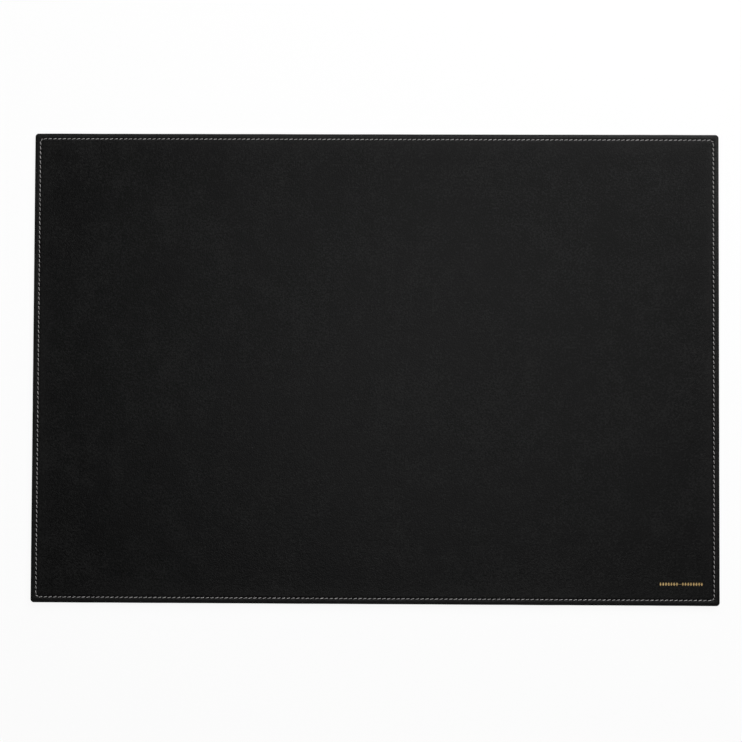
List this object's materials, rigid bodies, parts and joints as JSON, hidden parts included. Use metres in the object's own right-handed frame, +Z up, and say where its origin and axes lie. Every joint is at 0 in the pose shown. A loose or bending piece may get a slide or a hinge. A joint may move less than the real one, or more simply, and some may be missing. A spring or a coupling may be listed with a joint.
{
  "type": "desk pad",
  "caption": "Flat rectangular leather desk pad with turned edges, a perimeter seam in a pressed channel, a padded board core and a suede underside.",
  "frame": {"origin": "middle of the underside, on the surface that the pad lies on", "axes": "+X along the width to the user's right, +Y away from the user, +Z up out of the writing surface"},
  "size_m": [0.61, 0.418, 0.0056],
  "materials": {
    "suede_backing": "matt napped microsuede",
    "infill_sheet": "matt grey card",
    "stiffener_board": "matt fibre board",
    "padding_sheet": "matt felt",
    "leather_cover": "fine-grained satin black leather",
    "needle_thread": "twisted pale thread",
    "bobbin_thread": "twisted pale thread",
    "foil_ornament": "stamped gold foil"
  },
  "bodies": {
    "root": {"suede_backing": "suede_backing", "infill_sheet": "infill_sheet", "stiffener_board": "stiffener_board", "padding_sheet": "padding_sheet", "leather_cover": "leather_cover", "needle_thread": "needle_thread", "bobbin_thread": "bobbin_thread", "foil_ornament": "foil_ornament"}
  },
  "joints": []
}
